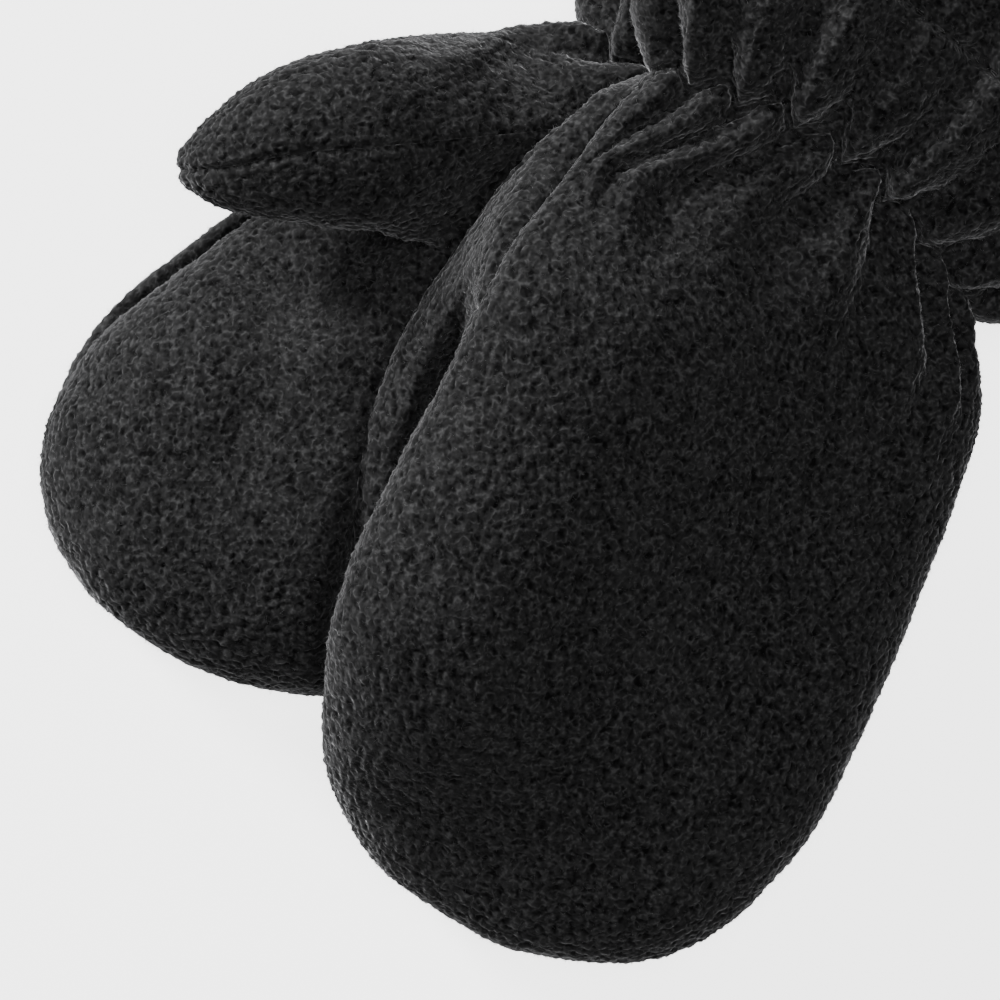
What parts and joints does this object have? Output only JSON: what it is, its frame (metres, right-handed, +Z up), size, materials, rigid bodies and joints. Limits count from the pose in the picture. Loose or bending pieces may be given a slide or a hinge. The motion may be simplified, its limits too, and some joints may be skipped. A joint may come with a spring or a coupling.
{
  "type": "pair of baby mittens",
  "caption": "Pair of dark fleece baby mittens with rounded thumbs, elasticated wrists and flared cuffs, laid one across the other, hollow as worn.",
  "frame": {"origin": "middle of the pair's bounding box on the surface that it lies on", "axes": "+Z up; +X and +Y lie in the surface: the left mitten's fingers point along -Y and a little -X, and the right mitten's along -X and somewhat less -Y"},
  "size_m": [0.1662, 0.1638, 0.046],
  "materials": {
    "fleece": "matt pebbled pile with a soft sheen at grazing angles"
  },
  "bodies": {
    "root": {"left_back": "fleece", "left_palm": "fleece", "left_heel": "fleece", "left_cuff": "fleece", "right_back": "fleece", "right_palm": "fleece", "right_heel": "fleece", "right_cuff": "fleece"}
  },
  "joints": []
}
